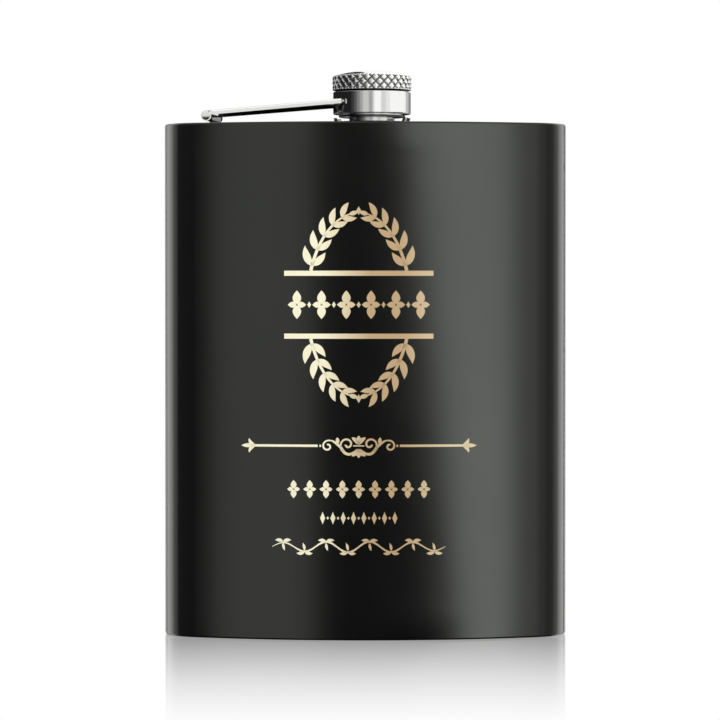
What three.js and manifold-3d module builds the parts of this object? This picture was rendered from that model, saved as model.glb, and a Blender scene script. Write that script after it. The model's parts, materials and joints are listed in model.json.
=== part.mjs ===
// A curved pocket flask with a captive screw cap on a hinged arm.
// Millimetres, +Z up. Origin: middle of the base's box. -Y is the convex front, +Y the hollow back.
import * as THREE from 'three';
import { mergeVertices } from 'three/addons/utils/BufferGeometryUtils.js';
import Module from 'manifold-3d';

const wasm = await Module();
wasm.setup();

// ---- driving dimensions ----------------------------------------------------------------------
const BODY = { width: 95, height: 120.6, thick: 22, bend: 102, wall: 0.6, edge: 0.6 };
const LID = { thick: 0.8, gap: 0.3 };                    // top and base plates, inset in the sleeve
const CAP_X = 1.5;                                       // cap axis, right of the middle
const ARM_REACH = 38.5;                                  // hinge pin to cap axis, seen from above
const ARM_YAW = THREE.MathUtils.degToRad(10);            // the arm follows the bend of the body
const ARM_SLOPE = THREE.MathUtils.degToRad(4.15);        // the arm rises towards the cap
const PIN_HEIGHT = 1.85;                                 // hinge pin above the top plate

const NECK = { bore: 4.2, outer: 5.3, thread: 5.65, below: 2.4, height: 6.4, pitch: 1.5, turns: 3 };
const SEAT = { inner: 6.0, outer: 9.1, floor: 0.7, rim: 0.9, height: 1.2, stop: 8.3 };
const COLLAR = { bore: 7.55, outer: 9.1, bottom: 2.05, top: 7.3, edge: 0.35 };
const INSERT = { bore: 6.55, outer: 7.2, bottom: 1.6, ceiling: 8.0, top: 8.8 };
const GASKET = { radius: 6.2, bottom: 6.7, top: 7.7 };
const RING = { inner: 7.5, outer: 8.2, bottom: 1.35, top: 1.75 };
const HEAD = { outer: 9.3, bottom: 7.6, band: 10.95, top: 12.3, socket: 7.5, socketTop: 9.1 };

const ARM = {
  length: 32.85, tall: 1.15, low: 0.15, web: 0.6, side: 0.8, earRadius: 1.27,
  hingeHalf: 6.3, capHalf: 8.25, webStart: 1.8, slotRadius: 11.0,
};
const PIVOT = { along: 31.95, hole: 0.62, pin: 0.42, inside: 5.0 };
const PIN = { radius: 0.7, hole: 0.95 };
const LUG = { half: 4.9, barrel: 1.2, leg: 0.45, heel: 0.65, toe: 1.5, bore: 0.97 };
const GAP = 0.3;
const ROUND = 48;                                        // facets round a large turned part
const QUARTER = Math.PI / 2;

// The body's rounded ends: how far round the bend they lie, and where their centres come to be.
const END = { angle: Math.asin((BODY.width - BODY.thick) / 2 / BODY.bend) };
END.x = BODY.bend * Math.sin(END.angle);
END.y = BODY.bend * (1 - Math.cos(END.angle));

// ---- materials -------------------------------------------------------------------------------
const metal = (color, roughness) =>
  new THREE.MeshStandardMaterial({ color, roughness, metalness: 1 });
const MATERIALS = {
  blackCoat: new THREE.MeshStandardMaterial({ color: 0x1b1c1b, roughness: 0.35, metalness: 0.3 }),
  polished: metal(0xd5d6d6, 0.12),
  knurled: metal(0xc9caca, 0.25),
  brushed: metal(0xb9bbbc, 0.35),
  seal: new THREE.MeshStandardMaterial({ color: 0xe6e4df, roughness: 0.6, metalness: 0 }),
};

// ---- shape helpers ---------------------------------------------------------------------------
/** Points of an arc, without its last point, which the next arc supplies. */
function arc(cx, cy, radius, from, to, steps) {
  return Array.from({ length: steps }, (_, i) => {
    const angle = from + ((to - from) * i) / steps;
    return new THREE.Vector2(cx + radius * Math.cos(angle), cy + radius * Math.sin(angle));
  });
}

/** Kidney outline: an arc thickened to both sides and rounded at its ends, moved in by `inset`. */
function kidney(inset) {
  const half = BODY.thick / 2;
  const round = half - inset;
  const down = -QUARTER;
  return [
    ...arc(0, BODY.bend, BODY.bend + round, down - END.angle, down + END.angle, 24),
    ...arc(END.x, END.y, round, down + END.angle, 0, 5),
    ...arc(END.x, END.y, round, 0, QUARTER, 7),
    ...arc(END.x, END.y, round, QUARTER, QUARTER + END.angle, 2),
    ...arc(0, BODY.bend, BODY.bend - round, down + END.angle, down - END.angle, 20),
    ...arc(-END.x, END.y, round, QUARTER - END.angle, QUARTER, 2),
    ...arc(-END.x, END.y, round, QUARTER, 2 * QUARTER, 7),
    ...arc(-END.x, END.y, round, 2 * QUARTER, 3 * QUARTER - END.angle, 5),
  ];
}

/** Closed wall: a profile of [inset, height] corners carried once round the kidney outline. */
function kidneyWall(profile) {
  const loops = profile.map(([inset, z]) => kidney(inset).map((p) => [p.x, p.y, z]));
  return stitch(loops, true);
}

/** Solid plate: [inset, height] corners from the bottom up, closed with flat ends. */
function kidneyPlate(profile) {
  const loops = profile.map(([inset, z]) => kidney(inset).map((p) => [p.x, p.y, z]));
  return stitch(loops, false);
}

/** Joins equal loops of points with quads; an open stack gets its two ends filled in. */
function stitch(loops, closed) {
  const count = loops[0].length;
  const index = [];
  const rows = closed ? loops.length : loops.length - 1;
  for (let row = 0; row < rows; row += 1) {
    const next = (row + 1) % loops.length;
    for (let i = 0; i < count; i += 1) {
      const j = (i + 1) % count;
      const [a, b] = [row * count + i, row * count + j];
      const [c, d] = [next * count + i, next * count + j];
      index.push(a, b, d, a, d, c);
    }
  }
  if (!closed) {
    const flat = loops[0].map(([x, y]) => new THREE.Vector2(x, y));
    const last = (loops.length - 1) * count;
    for (const [a, b, c] of THREE.ShapeUtils.triangulateShape(flat, [])) {
      index.push(a, c, b, last + a, last + b, last + c);
    }
  }
  const geometry = new THREE.BufferGeometry();
  geometry.setAttribute('position', new THREE.Float32BufferAttribute(loops.flat(2), 3));
  geometry.setIndex(index);
  return geometry;
}

/** Turned part about +Z from [radius, height] corners. */
function turned(profile, facets = ROUND) {
  const points = profile.map(([r, z]) => new THREE.Vector2(r, z));
  return new THREE.LatheGeometry(points, facets).rotateX(Math.PI / 2);
}

/** Turned tube: the corners close on themselves. */
const tube = (profile, facets) => turned([...profile, profile[0]], facets);

/** Round bar along the local Y axis, at (x, z). */
function bar(radius, from, to, x = 0, z = 0, facets = 20) {
  const geometry = new THREE.CylinderGeometry(radius, radius, to - from, facets);
  return geometry.translate(x, (from + to) / 2, z);
}

/** Outline in the XZ plane, extruded evenly to both sides along Y. */
function sideways(shape, half) {
  const options = { depth: 2 * half, bevelEnabled: false, curveSegments: 20 };
  const geometry = new THREE.ExtrudeGeometry(shape, options);
  return geometry.translate(0, 0, -half).rotateX(Math.PI / 2);
}

/** Outline in the XY plane, extruded between two heights. */
function upright(points, low, high) {
  const shape = new THREE.Shape(points.map(([x, y]) => new THREE.Vector2(x, y)));
  const geometry = new THREE.ExtrudeGeometry(shape, { depth: high - low, bevelEnabled: false });
  return geometry.translate(0, 0, low);
}

// ---- cutting and joining ---------------------------------------------------------------------
function solid(geometry) {
  const bare = geometry.clone();
  bare.deleteAttribute('normal');
  bare.deleteAttribute('uv');
  const merged = mergeVertices(bare, 1e-5);
  return new wasm.Manifold(new wasm.Mesh({
    numProp: 3,
    vertProperties: new Float32Array(merged.attributes.position.array),
    triVerts: new Uint32Array(merged.index.array),
  }));
}

function asGeometry(body) {
  const { vertProperties, triVerts } = body.getMesh();
  const geometry = new THREE.BufferGeometry();
  geometry.setAttribute('position', new THREE.BufferAttribute(vertProperties, 3));
  geometry.setIndex(new THREE.BufferAttribute(triVerts, 1));
  return geometry;
}

const cut = (first, ...tools) =>
  asGeometry(tools.reduce((body, tool) => body.subtract(solid(tool)), solid(first)));

// ---- flask body ------------------------------------------------------------------------------
function bodySleeve() {
  const { height, wall, edge } = BODY;
  const soft = edge * 0.3;
  return kidneyWall([
    [edge, 0], [soft, soft], [0, edge], [0, height - edge], [soft, height - soft], [edge, height],
    [wall, height - edge], [wall, edge],
  ]);
}

function lid(low) {
  const inset = BODY.wall + LID.gap;
  return kidneyPlate([[inset, low], [inset, low + LID.thick]]);
}

function topPlate() {
  const low = BODY.height - LID.thick;
  const bore = NECK.outer + GAP;
  const hole = turned([[0, low - 1], [bore, low - 1], [bore, low + 3], [0, low + 3]]);
  return cut(lid(low), hole.translate(CAP_X, 0, 0));
}

/** Threaded spout, with a thread of ridges and a flared foot under the top plate. */
function neck() {
  const { bore, outer, thread, below, height, pitch, turns } = NECK;
  const foot = -LID.thick - GAP;
  const ridges = [];
  for (let turn = 0; turn < turns; turn += 1) {
    const z = 1.9 + turn * pitch;
    ridges.push([outer, z], [thread, z + 0.45], [thread, z + 0.75], [outer, z + 1.2]);
  }
  return tube([
    [bore, -below], [outer + 1.2, -below], [outer + 1.2, foot], [outer, foot],
    ...ridges, [outer, height - 0.2], [outer - 0.2, height], [bore, height],
  ]);
}

/** Flat washer round the neck, with an upturned stop at each side in line with the arm. */
function neckSeat() {
  const { inner, outer, floor, rim, height, stop } = SEAT;
  const dish = tube([
    [inner, GAP], [outer, GAP], [outer, height - 0.2], [outer - 0.2, height],
    [outer - rim, height], [outer - rim, floor], [inner, floor],
  ]);
  const middle = [[-stop, -outer - 1], [stop, -outer - 1], [stop, outer + 1], [-stop, outer + 1]];
  return cut(dish, upright(middle, floor, height + 1));
}

/** Welded hinge lug: a barrel round the pin, and a leg down to the plate on the cap's side. */
function hingeLug() {
  const { half, barrel, leg, heel, toe, bore } = LUG;
  const shape = new THREE.Shape();
  const base = GAP - PIN_HEIGHT;
  shape.moveTo(heel, base);
  shape.lineTo(leg, -Math.sqrt(barrel ** 2 - leg ** 2));
  shape.absarc(0, 0, barrel, -Math.acos(leg / barrel), -2 * Math.PI, true);
  shape.lineTo(toe, base);
  shape.closePath();
  return cut(sideways(shape, half), bar(bore, -half - 1, half + 1));
}

// ---- arm -------------------------------------------------------------------------------------
const halfWidthAt = (x) => ARM.hingeHalf + ((ARM.capHalf - ARM.hingeHalf) * x) / ARM.length;

/** Four-sided plan of the arm between two stations, its sides moved in by `inset`. */
function armPlan(from, to, inset) {
  const [a, b] = [halfWidthAt(from) - inset, halfWidthAt(to) - inset];
  return [[from, -a], [to, -b], [to, b], [from, a]];
}

/** Folded channel with two ears at the hinge and an open fork at the cap. */
function armStrap() {
  const { length, tall, low, web, side, earRadius, capHalf, webStart, slotRadius } = ARM;
  const top = low + tall;
  const flange = new THREE.Shape([
    new THREE.Vector2(0, low), new THREE.Vector2(length, low),
    new THREE.Vector2(length, top), new THREE.Vector2(0, top),
  ]);
  const blank = solid(sideways(flange, capHalf + 1))
    .add(solid(bar(earRadius, -capHalf - 1, capHalf + 1, 0, 0, 32)))
    .intersect(solid(upright(armPlan(-2, length + 1, 0), -3, 3)));
  const channel = solid(upright(armPlan(-2, length + 1, side), -3, top - web));
  const hingeSlot = solid(upright(armPlan(-2, webStart, side), -3, 3));
  const capAxis = ARM_REACH / Math.cos(ARM_SLOPE);
  const round = turned([[0, -3], [slotRadius, -3], [slotRadius, 3], [0, 3]], 96);
  const forkSlot = solid(round.translate(capAxis, 0, 0))
    .intersect(solid(upright(armPlan(10, length + 2, side), -3, 3)));
  return asGeometry(
    blank.subtract(channel).subtract(hingeSlot).subtract(forkSlot)
      .subtract(solid(bar(PIN.hole, -9, 9))),
  );
}

const hingePin = () => bar(PIN.radius, -ARM.hingeHalf, ARM.hingeHalf);

/** Short pin welded to the inside of one prong, running in the collar; -1 is front, +1 rear. */
function pivotPin(side) {
  const outer = halfWidthAt(PIVOT.along) - ARM.side - GAP / 2;
  const ends = [side * PIVOT.inside, side * outer].sort((a, b) => a - b);
  return bar(PIVOT.pin, ends[0], ends[1], PIVOT.along, ARM.low + ARM.tall / 2, 16);
}

// ---- cap -------------------------------------------------------------------------------------
/** Where the fork's pivot axis lies in the cap's own frame, before the turn about Z. */
function pivotInCapFrame() {
  const [x, z] = [PIVOT.along, ARM.low + ARM.tall / 2];
  const [c, s] = [Math.cos(ARM_SLOPE), Math.sin(ARM_SLOPE)];
  return { x: x * c - z * s - ARM_REACH, z: PIN_HEIGHT + x * s + z * c };
}

function collar() {
  const { bore, outer, bottom, top, edge } = COLLAR;
  const ring = tube([
    [bore, bottom], [outer - 2 * edge, bottom], [outer - 0.6 * edge, bottom + 0.6 * edge],
    [outer, bottom + 2 * edge], [outer, top - edge], [outer - edge, top], [bore, top],
  ], 64);
  const { x, z } = pivotInCapFrame();
  const reach = PIVOT.inside - GAP;
  return cut(ring, bar(PIVOT.hole, -10, -reach, x, z), bar(PIVOT.hole, reach, 10, x, z));
}

function capInsert() {
  const { bore, outer, bottom, ceiling, top } = INSERT;
  return turned([[0, ceiling], [bore, ceiling], [bore, bottom], [outer, bottom], [outer, top], [0, top]]);
}

function capGasket() {
  const { radius, bottom, top } = GASKET;
  return turned([[0, bottom], [radius, bottom], [radius, top], [0, top]], 32);
}

function retainingRing() {
  const { inner, outer, bottom, top } = RING;
  return tube([[inner, bottom], [outer - 0.2, bottom], [outer, bottom + 0.2], [outer, top], [inner, top]]);
}

/** Round knurled grip with a shallow crown, hollow underneath for the insert. */
function capHead() {
  const { outer, bottom, band, top, socket, socketTop } = HEAD;
  const rise = top - band;
  const crown = [0.96, 0.82, 0.62, 0.4, 0.2].map((t) => [outer * t, band + rise * (1 - t * t)]);
  return turned([
    [0, socketTop], [socket, socketTop], [socket, bottom], [outer - 0.3, bottom],
    [outer, bottom + 0.3], [outer, band - 0.2], ...crown, [0, top],
  ]);
}

// ---- assembly --------------------------------------------------------------------------------
function mesh(name, geometry, material) {
  const piece = new THREE.Mesh(geometry, material);
  piece.name = name;
  return piece;
}

const { blackCoat, polished, knurled, brushed, seal } = MATERIALS;

const body = new THREE.Group();
body.add(
  mesh('body_sleeve', bodySleeve(), blackCoat),
  mesh('top_plate', topPlate(), blackCoat),
  mesh('base_plate', lid(0), blackCoat),
);

const capGroup = new THREE.Group();
capGroup.position.set(CAP_X, 0, BODY.height);
capGroup.rotation.z = -ARM_YAW;
capGroup.add(
  mesh('neck', neck(), brushed),
  mesh('neck_seat', neckSeat(), polished),
  mesh('collar', collar(), polished),
  mesh('cap_head', capHead(), knurled),
  mesh('cap_insert', capInsert(), brushed),
  mesh('cap_gasket', capGasket(), seal),
  mesh('retaining_ring', retainingRing(), polished),
);

const hingeGroup = new THREE.Group();
hingeGroup.position.set(
  CAP_X - ARM_REACH * Math.cos(ARM_YAW), ARM_REACH * Math.sin(ARM_YAW), BODY.height + PIN_HEIGHT,
);
hingeGroup.rotation.z = -ARM_YAW;
hingeGroup.add(mesh('hinge_lug', hingeLug(), polished), mesh('hinge_pin', hingePin(), polished));

const armGroup = new THREE.Group();
armGroup.rotation.y = -ARM_SLOPE;
armGroup.add(
  mesh('arm_strap', armStrap(), polished),
  mesh('pivot_pin_front', pivotPin(-1), polished),
  mesh('pivot_pin_rear', pivotPin(1), polished),
);
hingeGroup.add(armGroup);

const flask = new THREE.Group();
flask.add(body, capGroup, hingeGroup);
flask.position.y = -END.y / 2;                           // the origin is in the middle of the depth

export default flask;
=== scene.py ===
"""A curved pocket flask with a captive screw cap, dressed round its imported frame.

The black sleeve, its plates, the neck, the hinged arm and the knurled cap are worked out as numpy
surfaces in millimetres in the frame's own axes (+Z up, -Y the convex front), then made into meshes
in metres that ride on the frame's bodies. A gold ornament is printed on the convex front.
"""

from __future__ import annotations

import json
import logging
import math
from dataclasses import dataclass, field
from enum import Enum
from typing import Sequence

import bmesh
import bpy
import numpy as np
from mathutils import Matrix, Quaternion, Vector

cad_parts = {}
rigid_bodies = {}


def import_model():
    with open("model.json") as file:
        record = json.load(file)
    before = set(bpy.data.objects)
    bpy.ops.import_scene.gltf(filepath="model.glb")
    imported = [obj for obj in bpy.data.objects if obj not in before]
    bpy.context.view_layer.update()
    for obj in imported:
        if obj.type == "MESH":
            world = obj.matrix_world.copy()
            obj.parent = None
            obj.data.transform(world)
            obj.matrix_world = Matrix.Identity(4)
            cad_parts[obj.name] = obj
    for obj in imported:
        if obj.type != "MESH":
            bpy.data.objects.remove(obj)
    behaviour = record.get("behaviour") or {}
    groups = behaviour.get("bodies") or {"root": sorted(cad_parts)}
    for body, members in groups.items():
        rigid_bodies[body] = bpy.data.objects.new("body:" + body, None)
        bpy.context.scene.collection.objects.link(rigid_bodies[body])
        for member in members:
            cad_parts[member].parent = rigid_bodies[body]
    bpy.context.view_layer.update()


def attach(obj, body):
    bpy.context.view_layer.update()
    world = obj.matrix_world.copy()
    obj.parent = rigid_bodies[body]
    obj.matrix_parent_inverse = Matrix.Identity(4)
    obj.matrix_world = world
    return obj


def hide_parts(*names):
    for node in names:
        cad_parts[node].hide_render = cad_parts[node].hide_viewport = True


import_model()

LOG = logging.getLogger("flask")
Array = np.ndarray
Corner = tuple[float, float, float]

MM = 0.001  # one millimetre in metres
WELD = 1.5e-7  # points closer than this, in metres, are one point
TURN = 2 * math.pi


class Finish(Enum):
    """The finishes of the flask, named after the record's material slots."""

    BLACK = "black_coat"
    POLISHED = "polished_steel"
    KNURLED = "knurled_steel"
    BRUSHED = "brushed_steel"
    SEAL = "silicone_seal"
    GOLD = "gold_print"


class Glow(Enum):
    """Which family of pieces a lamp shines on."""

    COAT = "coated"
    METAL = "turned_metal"
    ARM = "folded_metal"
    PRINT = "printed"


GLOW_OF = {
    Finish.BLACK: Glow.COAT,
    Finish.POLISHED: Glow.METAL,
    Finish.KNURLED: Glow.METAL,
    Finish.BRUSHED: Glow.METAL,
    Finish.SEAL: Glow.METAL,
    Finish.GOLD: Glow.PRINT,
}


# ---- surfaces ------------------------------------------------------------------------------------
@dataclass(frozen=True)
class Shell:
    """Points in millimetres and the four-cornered faces between them."""

    points: Array
    faces: Array
    marks: dict[str, Array] = field(default_factory=dict)


def grid_faces(rows: int, cols: int, wrap_rows: bool, wrap_cols: bool) -> Array:
    """Faces of a grid of points: each cell joins a point, its neighbour and the two of the next row.

    Args:
        rows: number of rows of points.
        cols: number of points in a row.
        wrap_rows: the last row joins the first.
        wrap_cols: the last point of a row joins its first.

    Returns:
        Four point numbers per cell.
    """
    r = np.arange(rows if wrap_rows else rows - 1)[:, None]
    c = np.arange(cols if wrap_cols else cols - 1)[None, :]
    r1, c1 = (r + 1) % rows, (c + 1) % cols
    return np.stack([r * cols + c, r * cols + c1, r1 * cols + c1, r1 * cols + c], -1).reshape(-1, 4)


def grid_shell(points: Array, wrap_rows: bool = False, wrap_cols: bool = True,
               marks: dict[str, Array] | None = None) -> Shell:
    """The surface through a (rows, cols, 3) grid of points.

    Args:
        points: the grid.
        wrap_rows: the surface closes on itself from the last row to the first.
        wrap_cols: the surface closes on itself round each row.
        marks: named values, one per point of the grid.

    Returns:
        The shell.
    """
    rows, cols = points.shape[:2]
    flat = {name: values.reshape(-1) for name, values in (marks or {}).items()}
    return Shell(points.reshape(-1, 3), grid_faces(rows, cols, wrap_rows, wrap_cols), flat)


def unit(vector: Array) -> Array:
    """The vector at length one."""
    return vector / np.linalg.norm(vector)


def rounded(corners: Sequence[Corner], closed: bool = False, steps: int = 6) -> Array:
    """A profile through corners, each with its own rounding.

    The arc of radius R in a corner of half angle h touches both sides at R / tan h from the corner,
    and its centre lies on the bisector at R / sin h. Its points are the spherical mean of the two
    touching directions seen from that centre.

    Args:
        corners: (first, second, radius) of each corner; a radius of 0 keeps it sharp.
        closed: the last corner leads back to the first.
        steps: points along each arc.

    Returns:
        (n, 2) points.
    """
    xy = np.array([corner[:2] for corner in corners], float)
    if not closed:
        assert corners[0][2] == corners[-1][2] == 0, "an open profile has sharp ends"
    pieces = []
    t = np.linspace(0, 1, steps)[:, None]
    for index, (_, _, radius) in enumerate(corners):
        point = xy[index]
        if radius == 0:
            pieces.append(point[None])
            continue
        to_last, to_next = unit(xy[index - 1] - point), unit(xy[(index + 1) % len(xy)] - point)
        half = 0.5 * math.acos(float(np.clip(to_last @ to_next, -1, 1)))
        centre = point + unit(to_last + to_next) * radius / math.sin(half)
        start = point + to_last * radius / math.tan(half) - centre
        end = point + to_next * radius / math.tan(half) - centre
        sweep = math.pi - 2 * half
        arc = (np.sin((1 - t) * sweep) * start + np.sin(t * sweep) * end) / math.sin(sweep)
        pieces.append(centre + arc)
    return np.concatenate(pieces)


def divided(profile: Array, longest: float, closed: bool = False) -> Array:
    """The same profile with extra points, so that no stretch is longer than a given length.

    Args:
        profile: (n, 2) points.
        longest: the longest stretch allowed.
        closed: the last point leads back to the first.

    Returns:
        (m, 2) points.
    """
    ends = np.roll(profile, -1, 0) if closed else profile[1:]
    starts = profile if closed else profile[:-1]
    counts = np.maximum(1, np.ceil(np.linalg.norm(ends - starts, axis=1) / longest).astype(int))
    which = np.repeat(np.arange(len(counts)), counts)
    step = (np.arange(len(which)) - np.repeat(np.cumsum(counts) - counts, counts)) / counts[which]
    points = starts[which] + step[:, None] * (ends[which] - starts[which])
    return points if closed else np.concatenate([points, profile[-1:]])


def turned(profile: Array, facets: int, closed: bool = False, relief: Array | None = None,
           marks: dict[str, Array] | None = None) -> Shell:
    """A turned part: a point at radius r and height z goes round as (r cos a, r sin a, z).

    Args:
        profile: (rows, 2) radii and heights.
        facets: points round the axis.
        closed: the profile returns to its start.
        relief: (rows, facets) lengths added to the radius.
        marks: named values, one per point.

    Returns:
        The shell.
    """
    angle = np.arange(facets) * TURN / facets
    radius = profile[:, :1] + (0 if relief is None else relief) + 0 * angle
    height = profile[:, 1:] + 0 * angle
    points = np.stack([radius * np.cos(angle), radius * np.sin(angle), height], -1)
    return grid_shell(points, closed, True, marks)


def smooth_step(value: Array, low: float, high: float) -> Array:
    """0 below low, 1 above high, and a soft S between them.

    Args:
        value: where to look.
        low: up to here it is 0.
        high: from here on it is 1.

    Returns:
        The smooth step of each value.
    """
    t = np.clip((value - low) / (high - low), 0, 1)
    return t * t * (3 - 2 * t)


def thick_sheet(outer: Array, inner: Array, faces: Array) -> Shell:
    """A folded sheet with both sides and its rims.

    The same faces cover the outer and the inner side. A rim face joins them along each edge that
    only one face has, where edges with equal end points count as the same edge.

    Args:
        outer: (n, 3) points of the outer side.
        inner: (n, 3) points of the inner side, in the same order.
        faces: faces over the outer points.

    Returns:
        The closed shell.
    """
    count = len(outer)
    _, label = np.unique(np.round(outer / 1e-4).astype(np.int64), axis=0, return_inverse=True)
    label = label.reshape(-1)
    ends = np.stack([faces, np.roll(faces, -1, axis=1)], -1).reshape(-1, 2)
    named = np.sort(label[ends], axis=1)
    real = named[:, 0] != named[:, 1]
    ends, named = ends[real], named[real]
    _, first, uses = np.unique(named, axis=0, return_index=True, return_counts=True)
    a, b = ends[first[uses == 1]].T
    rim = np.stack([a, b, b + count, a + count], -1)
    points = np.concatenate([outer, inner])
    # 1 on the inner side; the strap's material paints that side near black, as the shade inside the
    # channel.
    inside = np.concatenate([np.zeros(count), np.ones(count)])
    return Shell(points, np.concatenate([faces, faces + count, rim]), {"inside": inside})


@dataclass(frozen=True)
class Station:
    """A local frame: an origin, a turn about Z, and a rise of its X axis about its own Y axis."""

    origin: tuple[float, float, float] = (0.0, 0.0, 0.0)
    yaw: float = 0.0
    rise: float = 0.0

    def place(self, shell: Shell) -> Shell:
        """The shell moved from this local frame into the row frame.

        A point rises as x' = x cos - z sin, z' = x sin + z cos, then turns about Z and moves by the
        origin.

        Args:
            shell: a shell in local coordinates.

        Returns:
            The shell in the row frame.
        """
        x, y, z = shell.points.T
        along = x * math.cos(self.rise) - z * math.sin(self.rise)
        up = x * math.sin(self.rise) + z * math.cos(self.rise)
        turn_x = along * math.cos(self.yaw) - y * math.sin(self.yaw)
        turn_y = along * math.sin(self.yaw) + y * math.cos(self.yaw)
        points = np.stack([turn_x, turn_y, up], -1) + np.array(self.origin)
        return Shell(points, shell.faces, shell.marks)


# ---- materials -----------------------------------------------------------------------------------
class Recipe:
    """Builds one node material round a Principled shader."""

    def __init__(self, name: str) -> None:
        """Starts an empty material of that name.

        Args:
            name: the material's name.
        """
        self.material = bpy.data.materials.new(name)
        self.material.use_nodes = True
        self.nodes = self.material.node_tree.nodes
        self.links = self.material.node_tree.links
        self.shader = self.nodes["Principled BSDF"]

    def node(self, kind: str, **inputs: object) -> bpy.types.Node:
        """Adds a node and fills its inputs.

        Args:
            kind: the node's type name.
            inputs: input name, with spaces as underscores, to a value or an output to link.

        Returns:
            The node.
        """
        node = self.nodes.new(kind)
        for name, value in inputs.items():
            self.feed(node, name.replace("_", " "), value)
        return node

    def feed(self, node: bpy.types.Node, socket: str | int, value: object) -> None:
        """Links an output to a node's input, or sets the input's own value.

        Args:
            node: whose input it is.
            socket: the input's name or number.
            value: an output to link, or a value.
        """
        if isinstance(value, bpy.types.NodeSocket):
            self.links.new(value, node.inputs[socket])
        else:
            node.inputs[socket].default_value = value

    def shade(self, **inputs: object) -> None:
        """Fills inputs of the Principled shader.

        Args:
            inputs: input name, with spaces as underscores, to a value or an output to link.
        """
        for name, value in inputs.items():
            self.feed(self.shader, name.replace("_", " "), value)

    def place(self, scale: Sequence[float] = (1, 1, 1), turn: float = 0.0) -> bpy.types.NodeSocket:
        """Object coordinates, turned about Z and then stretched.

        Args:
            scale: factor along each turned axis.
            turn: angle about Z, in radians.

        Returns:
            The vector output.
        """
        spot = self.node("ShaderNodeTexCoord").outputs["Object"]
        if turn:
            spot = self.node("ShaderNodeMapping", Vector=spot, Rotation=(0, 0, turn)).outputs[0]
        return self.node("ShaderNodeMapping", Vector=spot, Scale=tuple(scale)).outputs[0]

    def noise(self, spot: bpy.types.NodeSocket, scale: float, detail: float = 2.0) -> bpy.types.NodeSocket:
        """Noise value at a place."""
        return self.node("ShaderNodeTexNoise", Vector=spot, Scale=scale, Detail=detail).outputs[0]

    def maths(self, operation: str, *values: object) -> bpy.types.NodeSocket:
        """One step of arithmetic.

        Args:
            operation: the Math node's operation.
            values: outputs or numbers, in order.

        Returns:
            The value output.
        """
        node = self.nodes.new("ShaderNodeMath")
        node.operation = operation
        for index, value in enumerate(values):
            self.feed(node, index, value)
        return node.outputs[0]

    def range(self, value: bpy.types.NodeSocket, low: float, high: float,
              start: float = 0.3, end: float = 0.7) -> bpy.types.NodeSocket:
        """A value's stretch from start to end, mapped to low to high.

        Args:
            value: the output to map.
            low: result at the start.
            high: result at the end.
            start: where the stretch starts.
            end: where it ends.

        Returns:
            The value output.
        """
        return self.node("ShaderNodeMapRange", Value=value, From_Min=start, From_Max=end,
                         To_Min=low, To_Max=high).outputs[0]

    def ramp(self, value: bpy.types.NodeSocket,
             stops: Sequence[tuple[float, Sequence[float]]]) -> bpy.types.NodeSocket:
        """Colours along a value.

        Args:
            value: where on the ramp.
            stops: place and colour of each stop, in order.

        Returns:
            The colour output.
        """
        node = self.node("ShaderNodeValToRGB", Fac=value)
        elements = node.color_ramp.elements
        for index, (spot, colour) in enumerate(stops):
            element = elements[index] if index < 2 else elements.new(spot)
            element.position, element.color = spot, (*colour, 1)
        return node.outputs[0]

    def bump(self, height: bpy.types.NodeSocket, depth: float,
             under: bpy.types.NodeSocket | None = None) -> bpy.types.NodeSocket:
        """A fine relief.

        Args:
            height: value from 0 to 1.
            depth: what a height of 1 is, in millimetres.
            under: the normal of a coarser relief below it.

        Returns:
            The normal output.
        """
        node = self.node("ShaderNodeBump", Height=height, Strength=1.0, Distance=depth * MM)
        if under is not None:
            self.feed(node, "Normal", under)
        return node.outputs[0]

    def attribute(self, name: str) -> bpy.types.NodeSocket:
        """The value of a mesh attribute.

        Args:
            name: the attribute's name.

        Returns:
            The value output.
        """
        node = self.nodes.new("ShaderNodeAttribute")
        node.attribute_name = name
        return node.outputs["Fac"]


@dataclass(frozen=True)
class BlackCoat:
    """Satin black powder coat: a fine orange-peel relief and faint uneven gloss."""

    colour: tuple[float, float, float] = (0.0034, 0.0042, 0.0036)
    gloss: tuple[float, float] = (0.185, 0.215)
    tint: tuple[float, float, float, float] = (0.965, 1.0, 0.93, 1.0)
    peel: float = 0.0011  # millimetres

    def build(self) -> bpy.types.Material:
        """The material.

        Returns:
            The material.
        """
        recipe = Recipe("satin black coat")
        spot = recipe.place()
        cloud = recipe.noise(spot, 60, 3)
        fine = recipe.noise(spot, 5200, 1)
        deep = tuple(channel * 0.75 for channel in self.colour)
        recipe.shade(
            Base_Color=recipe.ramp(cloud, [(0.3, deep), (0.7, self.colour)]),
            Roughness=recipe.range(cloud, *self.gloss),
            Specular_Tint=self.tint,
            Normal=recipe.bump(fine, self.peel),
        )
        return recipe.material


@dataclass(frozen=True)
class Steel:
    """Bare stainless steel with the marks that its making left."""

    name: str
    colour: tuple[float, float, float] = (0.80, 0.80, 0.79)
    gloss: tuple[float, float] = (0.10, 0.15)
    lines: tuple[float, float, float] = (400.0, 400.0, 16000.0)  # noise per metre along each axis
    depth: float = 0.0012  # of the lines, millimetres
    turn: float = 0.0

    def build(self) -> bpy.types.Material:
        """The material: fine lines, with uneven gloss where hands and tools have been.

        Returns:
            The material.
        """
        recipe = Recipe(self.name)
        spot = recipe.place()
        lines = recipe.noise(recipe.place(self.lines, self.turn), 1.0, 3)
        smear = recipe.noise(spot, 260, 4)
        dull = tuple(channel * 0.9 for channel in self.colour)
        recipe.shade(
            Base_Color=recipe.ramp(lines, [(0.3, dull), (0.7, self.colour)]),
            Metallic=1.0,
            Roughness=recipe.range(smear, *self.gloss),
            Normal=recipe.bump(lines, self.depth),
        )
        return recipe.material


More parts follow.
